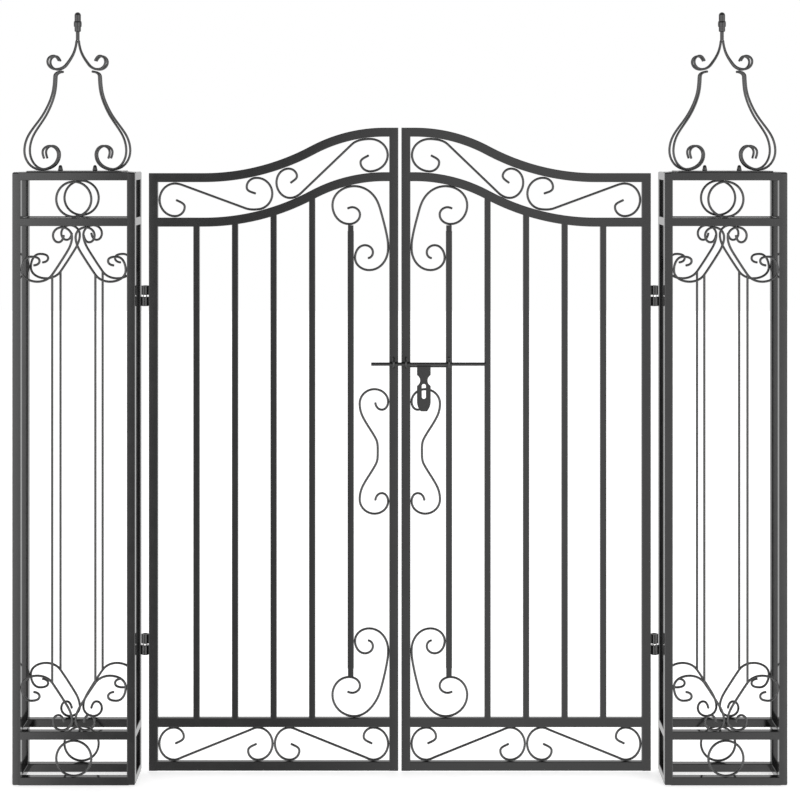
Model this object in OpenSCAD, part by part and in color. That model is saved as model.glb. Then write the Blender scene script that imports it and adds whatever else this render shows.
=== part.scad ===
// Double-leaf wrought iron garden gate hung between two open box pillars.
// Millimetres. +X runs along the fence line, +Y away from the garden side, +Z up.
// The origin is the middle of the underside of the left pillar's inner rear post.

/* [Pillars] */
// Height of the pillar posts
pillar_h = 966; // [600:1:1800]
// Width of a pillar along the fence line
pillar_w = 193.5; // [160:0.5:320]
// Depth of a pillar from front to back
pillar_d = 75; // [60:1:160]
// Side of the pillars' square tube
post_t = 13; // [8:0.1:20]
// Clear height of the two ring friezes of a pillar
ring_frieze_h = 59; // [40:1:90]
// Half distance between the two upright rods of a pillar face
rod_x = 34; // [26:1:42]
// Height that the pillar scrolls reach from their rail
pillar_scroll_h = 89.5; // [60:0.5:130]
// Height of the rods' feet, as a share of the pillar scrolls' height
rod_foot_share = 0.87; // [0.6:0.01:0.9]

/* [Gateway] */
// Clear width between the two pillars
gateway_w = 834; // [700:1:1600]
// Gap between a leaf's hinge stile and its pillar
hinge_side_gap = 14; // [13:0.5:30]
// Distance of the hinge pin from the side of the pillar
pin_offset = 7; // [6:0.5:8]
// Gap between the two closed leaves
meeting_gap = 5; // [4:0.5:12]
// Gap under the leaves
ground_gap = 4; // [2:0.5:40]

/* [Leaves] */
// Height of a leaf at its hinge stile
leaf_low_h = 959.5; // [700:0.5:1700]
// Rise of the swan-necked top from the hinge side to the middle
swan_rise = 73; // [30:1:120]
// Level length of the top rail beside the hinge stile
swan_start = 73; // [20:1:150]
// Level length of the top rail beside the meeting stile
swan_level = 7; // [2:1:60]
// Share of the rise's turning radius in its lower, hollow arc
swan_share = 0.6; // [0.3:0.05:0.7]
// Drop from the top rail to the neck rail below it
neck_drop = 71.5; // [55:0.5:110]
// Face width of the leaf's frame tube
frame_t = 14.5; // [12:0.5:25]
// Depth of the leaf's frame tube
leaf_d = 10; // [8:0.5:25]
// Side of the upright bars
bar_t = 10; // [6:0.5:10]
// Number of upright bars in a leaf, the short one among them
bar_count = 5; // [4:1:7]
// Narrowing of the short bar's two end plugs
plug_step = 1; // [0.5:0.1:2]
// Length of the short bar's upper end plug
upper_plug_h = 9; // [4:0.5:16]
// Length of the short bar's lower end plug
lower_plug_h = 13; // [4:0.5:20]
// Height of the kick rail's underside above the ground
kick_rail_z = 74; // [60:1:160]
// Height of the middle scroll's centre above the ground
middle_scroll_z = 516; // [400:1:620]
// Reach of a corner scroll along the meeting stile
corner_scroll_h = 143; // [120:1:200]
// Height of the upper corner scroll's large curl
upper_curl_h = 67; // [50:1:80]
// Height of the lower corner scroll's large curl
lower_curl_h = 63; // [50:1:80]
// Height of the middle scroll
middle_scroll_h = 204; // [140:1:300]
// Gap between the middle scroll and the short bar
middle_scroll_gap = 7.5; // [4:0.5:14]
// Play of a leaning curl between the swan-necked rails, which aren't quite parallel
curl_play = 0.8; // [0.6:0.1:2]

/* [Ironwork] */
// Thickness of the wire of scrolls, rings, rods and staples
wire_t = 3.8; // [2:0.1:5]

/* [Finials] */
// Height of a finial's tip above its pillar
finial_h = 254.5; // [230:0.5:360]
// Height of the large scrolls above the base plate
finial_scroll_h = 159.5; // [110:0.5:190]
// Reach of the large scrolls from the finial's axis
finial_scroll_w = 83.5; // [60:0.5:110]
// Angle of a finial's scrolls to the line of the fence
finial_splay = 15; // [10:0.5:35]
// Reach of the small crown scrolls from the finial's axis
crown_w = 47.5; // [36:0.5:70]
// Thickness of the finial's base plate
plate_t = 2; // [1.5:0.1:5]
// Length of the finial's base plate
plate_w = 150; // [100:1:170]
// Set-back of the base plate from the pillar's front and back
plate_margin = 2; // [1:0.5:6]
// Half distance between the two cap nuts
nut_x = 27.5; // [12:0.5:30]
// Diameter of the cap nuts
nut_d = 8; // [6:0.5:12]
// Height of the finial's tip above its stem
tip_h = 31; // [20:0.5:50]
// Diameter of the finial's tip
tip_d = 10.2; // [8:0.1:12]
// Diameter of the ring round the tip
tip_ring_d = 12.8; // [12.2:0.1:18]
// Height of the ring round the tip
tip_ring_h = 9; // [4:0.5:14]
// Height of the ring's underside above the tip's foot
tip_ring_z = 7.5; // [3:0.5:12]
// Length of the stem between the crown scrolls and the tip
stem_h = 14; // [6:0.5:20]
// Diameter of the stem under the tip
stem_d = 6; // [4:0.1:7.8]

/* [Hinges] */
// Height of the upper hinge's middle
upper_hinge_z = 766; // [500:1:820]
// Height of the lower hinge's middle
lower_hinge_z = 205; // [110:1:400]
// Clearance of a hinge knuckle beside the post or stile that it turns past
knuckle_clear = 0.8; // [0.5:0.1:1.5]
// Height of one knuckle
knuckle_h = 15; // [10:0.5:30]
// Gap between the upper and the lower knuckle
knuckle_gap = 3; // [2:0.1:6]
// Diameter of the hinge pins
pin_d = 6; // [4:0.1:6.4]
// Clearance of a hinge pin in its sleeve, all round
pin_fit = 0.05; // [0.02:0.01:0.1]
// Thickness of the weld straps of the hinges
strap_t = 3; // [2:0.1:4]
// Distance of the hinge pin in front of the rear posts' centre line
pin_set = 2; // [0:0.1:4]
// Distance from the leaf's rear face to the hinge pin's axis
pin_rear = 0.5; // [0.5:0.1:3]

/* [Bolt and hasp] */
// Diameter of the bolt rod
bolt_d = 5.6; // [5:0.1:8]
// Height of the bolt rod
bolt_z = 657.5; // [632:0.5:700]
// Length of the bolt rod past the gate's middle when it is shot
bolt_reach = 46; // [30:1:48]
// Length of the bolt rod on the leaf that carries it
bolt_tail = 138; // [100:1:190]
// Clearance between the bolt rod and the leaves
bolt_fit = 1.6; // [1.4:0.1:3]
// Clearance between the bolt rod and the lower legs of the staples
staple_fit = 0.4; // [0.3:0.1:1]
// Clear height inside a staple
staple_clear = 10.5; // [10:0.5:16]
// Distance of the hasp's middle from the gate's middle
hasp_x = 38.5; // [32:0.5:50]
// Diameter of the wire that the hasp hangs from
hasp_wire_d = 2.6; // [2:0.1:3.5]
// Drop of the hasp's wire below the bolt's axis
hasp_wire_drop = 4.6; // [4.4:0.1:8]
// Width of the hasp plate
hasp_w = 22; // [18:0.5:26]
// Length of the hasp plate below the bolt
hasp_h = 76; // [72:0.5:100]
// Width of the hasp's neck
hasp_neck_w = 12; // [10:0.5:14]
// Drop of the hasp's neck below the bolt
hasp_neck_z = 26.5; // [22:0.5:27]
// Height of the notches that form the neck
hasp_notch_h = 17; // [10:0.5:20]
// Width of the hasp's foot
hasp_foot_w = 10; // [6:0.5:14]
// Drop of the hasp's widest part below the bolt
hasp_shoulder_z = 60; // [50:0.5:66]
// Drop of the slot's top below the bolt
slot_z = 32; // [30:0.5:36]
// Thickness of the hasp plate
hasp_t = 1.2; // [1:0.1:1.5]
// Width of the hasp's slot
slot_w = 6.6; // [4:0.1:9]
// Length of the hasp's slot
slot_h = 24; // [16:0.5:28]
// Clearance between the hasp's eye and its wire, all round
eye_fit = 0.3; // [0.2:0.05:0.5]

/* [Hidden] */
$fn = 48;

// Places that follow from the sizes above
gate_mid_x = post_t / 2 + gateway_w / 2;
pillar_mid_x = post_t / 2 - pillar_w / 2;
pillar_mid_y = post_t / 2 - pillar_d / 2;
leaf_x = post_t / 2 + hinge_side_gap;
leaf_w = (gateway_w - meeting_gap) / 2 - hinge_side_gap;
pin_x = post_t / 2 + pin_offset;
pin_y = -pin_set;
leaf_y = pin_y - pin_rear - leaf_d / 2;
leaf_front_y = leaf_y - leaf_d / 2;
bar_front_y = leaf_y - bar_t / 2;
leaf_low_z = ground_gap + leaf_low_h;
leaf_high_z = leaf_low_z + swan_rise;
kick_top_z = kick_rail_z + frame_t;
meeting_u = leaf_w - frame_t;
bar_pitch = (meeting_u - frame_t) / (bar_count + 1);
short_bar_u = meeting_u - bar_pitch;
ring_low_z = pillar_h - post_t - ring_frieze_h;
scroll_top_z = ring_low_z - post_t;
scroll_low_z = 2 * post_t + ring_frieze_h;
bolt_y = leaf_front_y - bolt_fit - bolt_d / 2;
staple_z = bolt_z - bolt_d / 2 - staple_fit + staple_clear / 2;
hasp_wire_z = bolt_z - hasp_wire_drop;
knuckle_r = min(pin_offset, hinge_side_gap - pin_offset) - knuckle_clear;

// The swan neck is two equal turns, hollow and then round, end to end
swan_u = frame_t + swan_start;
swan_run = meeting_u - swan_level - swan_u;
swan_turn = 2 * atan(swan_rise / swan_run);
hollow_r = swan_share * swan_run / sin(swan_turn);
round_r = (1 - swan_share) * swan_run / sin(swan_turn);
swan_steps = 18;

iron = "#3c3c3c";
bright = "#8a8a8a";

// ---- Drawing with bent wire ------------------------------------------------
// A wire is a list of knots [x, z, heading]. Between two knots it follows the
// cubic curve that comes closest to one circular arc.

function turn(a, b) = let (d = b - a) d - 360 * round(d / 360);
function aim(k) = [cos(k[2]), sin(k[2])];
function spot(k) = [k[0], k[1]];
function arc_handle(a, b) =
    norm(spot(b) - spot(a)) / (3 * pow(cos(turn(a[2], b[2]) / 4), 2));
function cubic(p, q, r, s, t) =
    pow(1 - t, 3) * p + 3 * t * pow(1 - t, 2) * q + 3 * t * t * (1 - t) * r + pow(t, 3) * s;
function steps_of(a, b) = max(2, ceil(abs(turn(a[2], b[2])) / 15));
function bend(a, b, h) =
    [for (i = [1 : steps_of(a, b)])
        cubic(spot(a), spot(a) + h * aim(a), spot(b) - h * aim(b), spot(b), i / steps_of(a, b))];
function wire_line(knots) = concat(
    [spot(knots[0])],
    [for (i = [1 : len(knots) - 1])
        each bend(knots[i - 1], knots[i], arc_handle(knots[i - 1], knots[i]))]);

// Direction of a line of points at point i, and the strip of width w round it
function along(p, i) =
    let (d = p[min(i + 1, len(p) - 1)] - p[max(i - 1, 0)]) d / norm(d);
function side(p, i, w) = p[i] + w * [-along(p, i)[1], along(p, i)[0]];
function strip(p, w) = concat(
    [for (i = [0 : len(p) - 1]) side(p, i, w / 2)],
    [for (i = [len(p) - 1 : -1 : 0]) side(p, i, -w / 2)]);

function mirrored_z(knots) = [for (k = knots) [k[0], -k[1], -k[2]]];
function moved(knots, x, z) = [for (k = knots) [k[0] + x, k[1] + z, k[2]]];

// A flat drawing in X and Z, stood upright and made t thick about y = 0
module upright(t) {
    rotate([90, 0, 0])
        linear_extrude(height = t, center = true)
            children();
}

module wire(knots) {
    upright(wire_t)
        polygon(strip(wire_line(knots), wire_t));
}

// The right half of the gate is the left half's mirror image
module on_right() {
    translate([2 * gate_mid_x, 0, 0])
        mirror([1, 0, 0])
            children();
}

// ---- Pillars ---------------------------------------------------------------

module at_pillar() {
    translate([pillar_mid_x, pillar_mid_y, 0])
        children();
}

module pillar_posts() {
    at_pillar()
        for (sx = [-1, 1], sy = [-1, 1])
            translate([sx * (pillar_w - post_t) / 2, sy * (pillar_d - post_t) / 2, pillar_h / 2])
                cube([post_t, post_t, pillar_h], center = true);
}

module pillar_rails() {
    levels = [0, post_t + ring_frieze_h, ring_low_z - post_t, pillar_h - post_t];
    at_pillar()
        for (z = levels, s = [-1, 1]) {
            translate([0, s * (pillar_d - post_t) / 2, z + post_t / 2])
                cube([pillar_w - 2 * post_t, post_t, post_t], center = true);
            translate([s * (pillar_w - post_t) / 2, 0, z + post_t / 2])
                cube([post_t, pillar_d - 2 * post_t, post_t], center = true);
        }
}

// The ironwork of a pillar's front and rear lies flush with the outer faces
module on_both_faces() {
    at_pillar()
        for (s = [-1, 1])
            translate([0, s * (pillar_d - wire_t) / 2, 0])
                children();
}

module pillar_rings() {
    on_both_faces()
        for (z = [post_t, ring_low_z])
            translate([0, 0, z + ring_frieze_h / 2])
                rotate([90, 0, 0])
                    rotate_extrude()
                        translate([(ring_frieze_h - wire_t) / 2, 0])
                            circle(d = wire_t, $fn = 24);
}

// Half width left for a scroll between the pillar's middle and its post
pillar_scroll_w = (pillar_w - 2 * post_t - wire_t) / 2;
// Rising from the rail: small curl by the middle, large curl by the post
function pillar_wire() = let (w = pillar_scroll_w, h = pillar_scroll_h - wire_t) [
    [0.19 * w, 0.14 * h, 80], [0.295 * w, 0.275 * h, 0], [0.4 * w, 0.15 * h, 270],
    [0.23 * w, 0, 180], [0.035 * w, 0.18 * h, 90], [0.145 * w, 0.475 * h, 58],
    [rod_x, rod_foot_share * h, 55], [0.7 * w, h, 0], [w, 0.79 * h, 270],
    [0.82 * w, 0.54 * h, 180], [0.66 * w, 0.62 * h, 90], [0.78 * w, 0.7 * h, 0]];

module pillar_scrolls() {
    on_both_faces()
        for (s = [0, 1])
            mirror([s, 0, 0]) {
                wire(moved(pillar_wire(), 0, scroll_low_z + wire_t / 2));
                wire(moved(mirrored_z(pillar_wire()), 0, scroll_top_z - wire_t / 2));
            }
}

// Upright rods, welded at both ends into the shoulders of the scrolls
module pillar_rods() {
    foot = wire_t / 2 + rod_foot_share * (pillar_scroll_h - wire_t);
    on_both_faces()
        for (s = [-1, 1])
            translate([s * rod_x, 0, scroll_low_z + foot])
                cylinder(d = wire_t, h = scroll_top_z - scroll_low_z - 2 * foot, $fn = 24);
}

// ---- Finials ---------------------------------------------------------------

foot_z = pillar_h + plate_t;

module on_diagonals() {
    at_pillar()
        for (a = [finial_splay, 180 - finial_splay, 180 + finial_splay, -finial_splay])
            rotate([0, 0, a])
                translate([0, 0, foot_z])
                    children();
}

module finial_base() {
    at_pillar() {
        translate([-plate_w / 2, -pillar_d / 2 + plate_margin, pillar_h])
            cube([plate_w, pillar_d - 2 * plate_margin, plate_t]);
        for (s = [-1, 1])
            translate([s * nut_x, 0, foot_z])
                cap_nut();
    }
}

module cap_nut() {
    cylinder(d = nut_d, h = 0.6 * nut_d);
    translate([0, 0, 0.6 * nut_d])
        intersection() {
            sphere(d = nut_d);
            cylinder(d = nut_d, h = nut_d);
        }
}

// Large scroll that stands on its lower curl, drawn outwards from the finial's axis
function finial_wire() = let (w = finial_scroll_w, h = finial_scroll_h - wire_t) [
    [0.63 * w, 0.11 * h, 70], [0.66 * w, 0.175 * h, 90], [0.525 * w, 0.24 * h, 180],
    [0.37 * w, 0.15 * h, 270], [0.69 * w, 0, 0], [w, 0.19 * h, 90], [0.9 * w, 0.37 * h, 122],
    [0.64 * w, 0.57 * h, 120], [0.48 * w, 0.77 * h, 105], [0.44 * w, 0.95 * h, 93],
    [0.29 * w, h, 180]];

// Crown scroll: a small outer curl that stands on the large scroll, then up to the stem
crown_z = finial_scroll_h;
crown_h = finial_h - plate_t - tip_h - stem_h - crown_z - wire_t / 2;
function crown_wire() = let (w = crown_w, h = crown_h) [
    [0.62 * w, 0.28 * h, 60], [0.8 * w, 0.46 * h, 0], [w, 0.26 * h, 270],
    [0.73 * w, 0, 180], [0.39 * w, 0.16 * h, 128], [0.1 * w, 0.67 * h, 107],
    [wire_t / 2, h, 93]];

module finial_scrolls() {
    on_diagonals()
        wire(moved(finial_wire(), 0, wire_t / 2));
}

module finial_crown() {
    on_diagonals()
        wire(moved(crown_wire(), 0, crown_z + wire_t / 2));
}

module finial_tip() {
    at_pillar()
        translate([0, 0, pillar_h + finial_h - tip_h]) {
            translate([0, 0, -stem_h])
                cylinder(d = stem_d, h = stem_h);
            cylinder(d = tip_d, h = tip_h - tip_d / 2);
            translate([0, 0, tip_ring_z])
                cylinder(d = tip_ring_d, h = tip_ring_h);
            translate([0, 0, tip_h - tip_d / 2])
                intersection() {
                    sphere(d = tip_d);
                    cylinder(d = tip_d, h = tip_d);
                }
        }
}

// ---- Hinges ----------------------------------------------------------------

module at_hinges() {
    for (z = [lower_hinge_z, upper_hinge_z])
        translate([pin_x, pin_y, z])
            children();
}

// Lower knuckle, welded to the post, with its pin standing up into the sleeve
module hinge_pins() {
    at_hinges() {
        translate([0, 0, -knuckle_gap / 2 - knuckle_h]) {
            cylinder(r = knuckle_r, h = knuckle_h);
            translate([-pin_offset, -strap_t / 2, 0])
                cube([pin_offset, strap_t, knuckle_h]);
        }
        translate([0, 0, -knuckle_gap])
            cylinder(d = pin_d, h = 1.5 * knuckle_gap + knuckle_h - strap_t);
    }
}

// Upper knuckle, welded to the leaf, open through for the pin
module hinge_sleeves() {
    at_hinges()
        translate([0, 0, knuckle_gap / 2])
            difference() {
                union() {
                    cylinder(r = knuckle_r, h = knuckle_h);
                    translate([0, -pin_rear - strap_t, 0])
                        cube([hinge_side_gap - pin_offset, strap_t, knuckle_h]);
                }
                translate([0, 0, -1])
                    cylinder(r = pin_d / 2 + pin_fit, h = knuckle_h + 2);
            }
}

// ---- Leaves ----------------------------------------------------------------

module at_leaf() {
    translate([leaf_x, leaf_y, 0])
        children();
}

module leaf_tube(u, z, w, h, d) {
    at_leaf()
        translate([u, -d / 2, z])
            cube([w, d, h]);
}

module hinge_stile() {
    leaf_tube(0, ground_gap, frame_t, leaf_low_h, leaf_d);
}

module meeting_stile() {
    leaf_tube(meeting_u, ground_gap, frame_t, leaf_high_z - ground_gap, leaf_d);
}

module kick_rails() {
    for (z = [ground_gap, kick_rail_z])
        leaf_tube(frame_t, z, meeting_u - frame_t, frame_t, leaf_d);
}

// Height at u of a line that keeps the distance off below the swan-necked centre line
function swan_z(u, off = 0) =
    let (v = u - swan_u, w = meeting_u - swan_level - u)
    v <= 0 ? -off
    : w <= 0 ? swan_rise - off
    : v < (hollow_r + off) * sin(swan_turn)
        ? hollow_r - sqrt(pow(hollow_r + off, 2) - v * v)
        : swan_rise - round_r + sqrt(pow(round_r - off, 2) - w * w);
// Slope of the swan neck at u
function swan_slope(u) =
    let (v = u - swan_u, w = meeting_u - swan_level - u)
    v <= 0 || w <= 0 ? 0
    : v < hollow_r * sin(swan_turn) ? asin(v / hollow_r) : asin(w / round_r);
// Centre line of a swan-necked rail, from the hinge stile to the meeting stile
function swan_line() = concat(
    [[frame_t, 0]],
    [for (i = [0 : swan_steps])
        let (a = swan_turn * i / swan_steps)
        [swan_u + hollow_r * sin(a), hollow_r * (1 - cos(a))]],
    [for (i = [swan_steps - 1 : -1 : 0])
        let (a = swan_turn * i / swan_steps)
        [meeting_u - swan_level - round_r * sin(a), swan_rise - round_r * (1 - cos(a))]],
    [[meeting_u, swan_rise]]);

module swan_rail(z) {
    at_leaf()
        translate([0, 0, z - frame_t / 2])
            upright(leaf_d)
                polygon(strip(swan_line(), frame_t));
}

module top_rail() {
    swan_rail(leaf_low_z);
}

module neck_rail() {
    swan_rail(leaf_low_z - neck_drop);
}

// Underside of the neck rail over u
function neck_under_z(u) =
    leaf_low_z - neck_drop - frame_t / 2 + swan_z(u, frame_t / 2);

// Long bar, cut to the slope of the neck rail at its top
module long_bar(u) {
    u0 = u - bar_t / 2;
    u1 = u + bar_t / 2;
    upright(bar_t)
        polygon([[u0, kick_top_z], [u1, kick_top_z], [u1, neck_under_z(u1)], [u0, neck_under_z(u0)]]);
}

corner_top_z = leaf_high_z - neck_drop - frame_t;
short_bar_z0 = kick_top_z + lower_curl_h + wire_t;
short_bar_z1 = corner_top_z - upper_curl_h - wire_t;

// Short bar between the corner scrolls, with a narrower plug in each end
module short_bar() {
    plug_t = bar_t - plug_step;
    translate([short_bar_u - bar_t / 2, -bar_t / 2, short_bar_z0 + lower_plug_h])
        cube([bar_t, bar_t, short_bar_z1 - short_bar_z0 - lower_plug_h - upper_plug_h]);
    translate([short_bar_u - plug_t / 2, -plug_t / 2, short_bar_z0])
        cube([plug_t, plug_t, short_bar_z1 - short_bar_z0]);
}

module bars() {
    at_leaf() {
        for (i = [2 : bar_count])
            long_bar(meeting_u - i * bar_pitch);
        short_bar();
    }
}

// Curl of a frieze scroll round its middle, in hundredths of its height, from its
// inner end round to where the wire runs straight: shape [outer reach, end of curl]
function curl(shape) = [
    [3, 0, 30], [30, 22, 90], [0, 50, 180], [-shape[0], 0, 270], [0, -50, 0],
    [shape[1], shape[2], 25]];
plain_curl = [46, 28, -41];
neck_curls = [[47, 24, -45], [49, 42, -42], [44, 34, -39], [55, 54, -36]];
// The curl at [u, z] with height h, turned by tilt; way -1 turns it upside down
function curl_at(u, z, h, tilt, way, shape = plain_curl) =
    [for (k = curl(shape))
        let (x = k[0] * h / 100, y = way * k[1] * h / 100)
        [u + x * cos(tilt) - y * sin(tilt), z + x * sin(tilt) + y * cos(tilt), way * k[2] + tilt]];
function turned_end(knots, from, to) =
    let (a = atan2(to[1] - from[1], to[0] - from[0]))
    [for (i = [0 : len(knots) - 1]) i < len(knots) - 1 ? knots[i] : [knots[i][0], knots[i][1], a]];
function backwards(knots) =
    [for (i = [len(knots) - 1 : -1 : 0]) [knots[i][0], knots[i][1], knots[i][2] + 180]];
// S-scroll: two curls with a straight between them
function s_scroll(a, b) =
    let (n = len(a) - 1)
    concat(turned_end(a, a[n], b[n]), backwards(turned_end(b, b[n], a[n])));

frieze_um = (frame_t + meeting_u) / 2;

module kick_scrolls() {
    h = kick_rail_z - ground_gap - frame_t - wire_t;
    z = ground_gap + frame_t + (h + wire_t) / 2;
    r = plain_curl[0] / 100 * h + wire_t / 2;
    wire(s_scroll(curl_at(frame_t + r, z, h, 0, 1), curl_at(frieze_um - r, z, h, 180, 1)));
    wire(s_scroll(curl_at(frieze_um + r, z, h, 0, -1), curl_at(meeting_u - r, z, h, 180, -1)));
}

// Curl number n between the two swan-necked rails at u, leaning half as much as they do
function neck_curl(u, turn, way, n) =
    let (tilt = swan_slope(u), h = neck_drop * cos(tilt) - frame_t - wire_t - curl_play)
    curl_at(u, leaf_low_z - (frame_t + neck_drop) / 2 + swan_z(u), h, tilt / 2 + turn, way,
        neck_curls[n]);
// Distance of curl number n's middle from where its outer side touches
function neck_reach(n) =
    neck_curls[n][0] / 100 * (neck_drop - frame_t - wire_t) + wire_t / 2;

module neck_scrolls() {
    wire(s_scroll(neck_curl(frame_t + neck_reach(0), 0, -1, 0),
        neck_curl(frieze_um + wire_t / 4 - neck_reach(1), 180, -1, 1)));
    wire(s_scroll(neck_curl(frieze_um + neck_reach(2), 0, 1, 2),
        neck_curl(meeting_u - neck_reach(3), 180, 1, 3)));
}

module frieze_scrolls() {
    at_leaf() {
        kick_scrolls();
        neck_scrolls();
    }
}

// Corner scroll, out from the meeting stile and down from z = 0: its large curl of
// height c lies over the short bar at u = -p with its outermost point rise below 0,
// and its small curl ends at height h
function corner_wire(p, h, c, rise) = [
    [-1.09 * p, -0.64 * c, 25], [-0.93 * p, -0.61 * c, -10], [-0.76 * p, -0.78 * c, 270],
    [-1.04 * p, -c, 180], [-1.475 * p, -0.56 * c, 90], [-0.91 * p, -rise, 0],
    [-0.34 * p, -0.42 * c, -60], [-0.21 * p, -0.73 * c, -75], [-0.045 * p, -0.655 * h, -81],
    [-wire_t / 2, -0.76 * h, 270], [-0.52 * p, -h, 180],
    [(bar_t + wire_t) / 2 - p, -0.86 * h, 90],
    [-0.63 * p, -0.72 * h, 0], [-0.425 * p, -0.8 * h, 270], [-0.56 * p, -0.865 * h, 180]];

// Drop of the upper corner scroll that lets it just touch the sloping neck rail
function upper_rise(p) =
    let (u = meeting_u - 0.91 * p, tilt = swan_slope(u - 0.1 * p))
    corner_top_z - neck_under_z(u) + 0.56 * p * (1 / cos(tilt) - 1) + wire_t / 2 / cos(tilt);

module corner_scrolls() {
    p = bar_pitch;
    h = corner_scroll_h;
    at_leaf() {
        wire(moved(corner_wire(p, h, upper_curl_h + wire_t / 2, upper_rise(p)),
            meeting_u, corner_top_z));
        wire(moved(mirrored_z(corner_wire(p, h, lower_curl_h + wire_t / 2, wire_t / 2)),
            meeting_u, kick_top_z));
    }
}

// Upper half of the middle scroll: its reach is w and its half height is h
function half_middle(w, h) = [
    [-0.47 * w, 0.79 * h, 270], [-0.25 * w, 0.67 * h, 0], [-wire_t / 2, 0.8 * h, 90],
    [-0.5 * w, h, 180], [-w, 0.77 * h, 270], [-0.9 * w, 0.56 * h, -64],
    [-0.45 * w, 0.2 * h, -63], [-0.39 * w, 0, 270]];

module middle_scroll() {
    w = bar_pitch - bar_t / 2 - middle_scroll_gap - wire_t / 2;
    upper = half_middle(w, (middle_scroll_h - wire_t) / 2);
    lower = backwards(mirrored_z(upper));
    at_leaf()
        wire(moved(concat(upper, [for (i = [1 : len(lower) - 1]) lower[i]]),
            meeting_u, middle_scroll_z));
}

// ---- Bolt and hasp ---------------------------------------------------------

// Staple that guides the bolt rod, welded on at depth y, with its bow round the rod
module staple(y) {
    r = (staple_clear + wire_t) / 2;
    for (s = [-1, 1])
        translate([0, y, staple_z + s * r])
            rotate([90, 0, 0])
                cylinder(d = wire_t, h = y - bolt_y, $fn = 24);
    translate([0, bolt_y, staple_z])
        rotate([0, 90, 0])
            rotate([0, 0, 180])
                rotate_extrude(angle = 180)
                    translate([r, 0])
                        circle(d = wire_t, $fn = 24);
}

// On the left leaf's meeting stile
module catch_staple() {
    translate([gate_mid_x - (meeting_gap + frame_t) / 2, 0, 0])
        staple(leaf_front_y);
}

// On the right leaf's meeting stile and short bar
module carrier_staples() {
    translate([gate_mid_x + (meeting_gap + frame_t) / 2, 0, 0])
        staple(leaf_front_y);
    translate([2 * gate_mid_x - leaf_x - short_bar_u, 0, 0])
        staple(bar_front_y);
}

// Wire that the hasp hangs from, between the right meeting stile and the short bar
module hasp_wire() {
    translate([gate_mid_x + meeting_gap / 2 + frame_t, leaf_front_y, hasp_wire_z])
        rotate([0, 90, 0])
            cylinder(d = hasp_wire_d, h = bar_pitch - bar_t / 2, $fn = 24);
}

module bolt_rod() {
    color(iron)
        translate([gate_mid_x - bolt_reach, bolt_y, bolt_z])
            rotate([0, 90, 0])
                cylinder(d = bolt_d, h = bolt_reach + bolt_tail);
}

// Face of the hasp plate, symmetrical about x = 0; z = 0 is the height of the bolt
module hasp_face() {
    notch_in = (hasp_w - hasp_neck_w) / 2;
    notch_r = (pow(hasp_notch_h / 2, 2) + pow(notch_in, 2)) / (2 * notch_in);
    // Below its shoulders the plate tapers in two arcs to the corners of its flat end
    foot_in = (hasp_w - hasp_foot_w) / 2;
    foot_r = (pow(hasp_h - hasp_shoulder_z, 2) + pow(foot_in, 2)) / (2 * foot_in);
    difference() {
        translate([-hasp_w / 2, -hasp_h])
            square([hasp_w, hasp_h - hasp_wire_drop]);
        for (s = [-1, 1]) {
            translate([s * (hasp_neck_w / 2 + notch_r), -hasp_neck_z])
                circle(r = notch_r, $fn = 64);
            difference() {
                translate([s * (hasp_foot_w + hasp_w) / 2 - hasp_w / 2, -hasp_h - 1])
                    square([hasp_w, hasp_h + 1 - hasp_shoulder_z]);
                translate([s * (hasp_w / 2 - foot_r), -hasp_shoulder_z])
                    circle(r = foot_r, $fn = 96);
            }
        }
        for (z = [slot_z + slot_w / 2, slot_z + slot_h - slot_w / 2])
            translate([0, -z])
                circle(d = slot_w);
        translate([-slot_w / 2, -slot_z - slot_h + slot_w / 2])
            square([slot_w, slot_h - slot_w]);
    }
}

// The plate hangs from the front of the eye that is rolled round its wire
module hasp() {
    eye_r = hasp_wire_d / 2 + eye_fit;
    color(bright)
        translate([gate_mid_x + hasp_x, leaf_front_y, 0])
            difference() {
                union() {
                    translate([0, -eye_r - hasp_t / 2, bolt_z])
                        upright(hasp_t)
                            hasp_face();
                    translate([0, 0, hasp_wire_z])
                        rotate([0, 90, 0])
                            cylinder(r = eye_r + hasp_t, h = hasp_w, center = true);
                }
                translate([0, 0, hasp_wire_z])
                    rotate([0, 90, 0])
                        cylinder(r = eye_r, h = hasp_w + 2, center = true);
            }
}

// ---- The named pieces ------------------------------------------------------

module left_pillar_posts() { color(iron) pillar_posts(); }
module left_pillar_rails() { color(iron) pillar_rails(); }
module left_pillar_rods() { color(iron) pillar_rods(); }
module left_pillar_rings() { color(iron) pillar_rings(); }
module left_pillar_scrolls() { color(iron) pillar_scrolls(); }
module left_finial_base() { color(bright) finial_base(); }
module left_finial_scrolls() { color(iron) finial_scrolls(); }
module left_finial_crown() { color(iron) finial_crown(); }
module left_finial_tip() { color(iron) finial_tip(); }
module left_hinge_pins() { color(iron) hinge_pins(); }
module right_pillar_posts() { color(iron) on_right() pillar_posts(); }
module right_pillar_rails() { color(iron) on_right() pillar_rails(); }
module right_pillar_rods() { color(iron) on_right() pillar_rods(); }
module right_pillar_rings() { color(iron) on_right() pillar_rings(); }
module right_pillar_scrolls() { color(iron) on_right() pillar_scrolls(); }
module right_finial_base() { color(bright) on_right() finial_base(); }
module right_finial_scrolls() { color(iron) on_right() finial_scrolls(); }
module right_finial_crown() { color(iron) on_right() finial_crown(); }
module right_finial_tip() { color(iron) on_right() finial_tip(); }
module right_hinge_pins() { color(iron) on_right() hinge_pins(); }
module left_leaf_hinge_stile() { color(iron) hinge_stile(); }
module left_leaf_meeting_stile() { color(iron) meeting_stile(); }
module left_leaf_top_rail() { color(iron) top_rail(); }
module left_leaf_neck_rail() { color(iron) neck_rail(); }
module left_leaf_kick_rails() { color(iron) kick_rails(); }
module left_leaf_bars() { color(iron) bars(); }
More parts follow.
